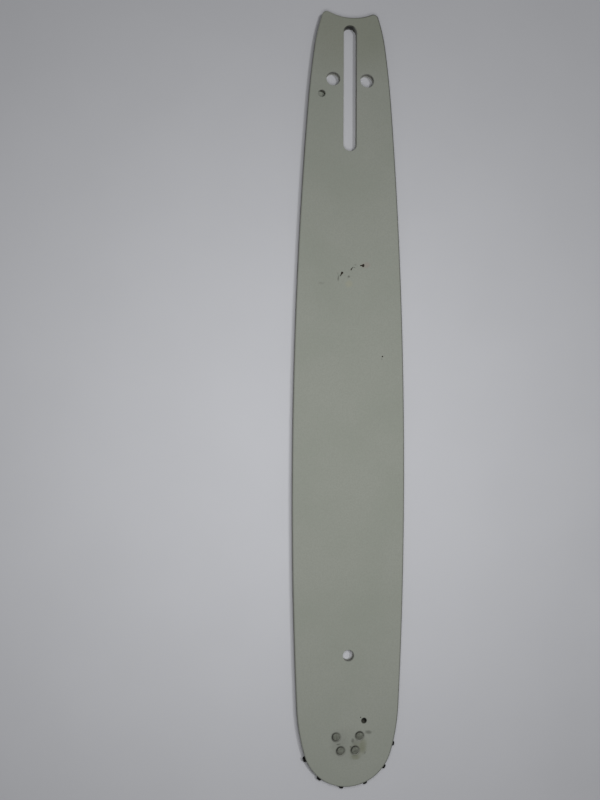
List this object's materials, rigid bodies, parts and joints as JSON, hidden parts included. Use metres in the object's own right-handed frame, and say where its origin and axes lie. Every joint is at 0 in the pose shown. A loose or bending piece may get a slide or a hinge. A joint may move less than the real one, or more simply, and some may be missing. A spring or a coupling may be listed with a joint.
{
  "type": "chainsaw guide bar",
  "caption": "Flat laminated steel guide bar for a chainsaw: grooved rails, stud slot and adjuster holes at the tail, and a toothed sprocket on rollers in the nose.",
  "frame": {"origin": "middle of the stud slot, on the back face that the bar lies on", "axes": "+X along the bar from the tail to the nose, +Y across it, +Z through its thickness, out of the front face"},
  "size_m": [0.4763, 0.0692, 0.0043],
  "materials": {
    "plate_finish": "matte greenish grey, blasted and phosphated sheet steel with a little dirt",
    "core_steel": "dull oily sheet steel at the bottom of the chain groove",
    "sprocket_steel": "blackened hardened steel",
    "bearing_steel": "ground bearing steel, greasy",
    "rivet_steel": "set rivet, dull grey with dirt round its rim"
  },
  "bodies": {
    "bar": {"side_plate_front": "plate_finish", "side_plate_back": "plate_finish", "core_plate": "core_steel", "bearing_hub": "bearing_steel", "nose_rivets": "rivet_steel"},
    "sprocket": {"nose_sprocket": "sprocket_steel"},
    "roller_ring": {"roller_01": "bearing_steel", "roller_02": "bearing_steel", "roller_03": "bearing_steel", "roller_04": "bearing_steel", "roller_05": "bearing_steel", "roller_06": "bearing_steel", "roller_07": "bearing_steel", "roller_08": "bearing_steel", "roller_09": "bearing_steel", "roller_10": "bearing_steel", "roller_11": "bearing_steel", "roller_12": "bearing_steel", "roller_13": "bearing_steel", "roller_14": "bearing_steel", "roller_15": "bearing_steel", "roller_16": "bearing_steel", "roller_17": "bearing_steel", "roller_18": "bearing_steel", "roller_19": "bearing_steel", "roller_20": "bearing_steel", "roller_21": "bearing_steel", "roller_22": "bearing_steel", "roller_23": "bearing_steel"}
  },
  "joints": [
    {"name": "sprocket_spin", "type": "hinge", "parent": "bar", "child": "sprocket", "pos_m": [0.3994, 0, 0.00215], "axis": [0, 0, 1], "continuous": true},
    {"name": "roller_orbit", "type": "hinge", "parent": "bar", "child": "roller_ring", "pos_m": [0.3994, 0, 0.00215], "axis": [0, 0, 1], "continuous": true}
  ],
  "couplings": [
    {"joint": "roller_orbit", "follows": "sprocket_spin", "ratio": 0.5681}
  ]
}
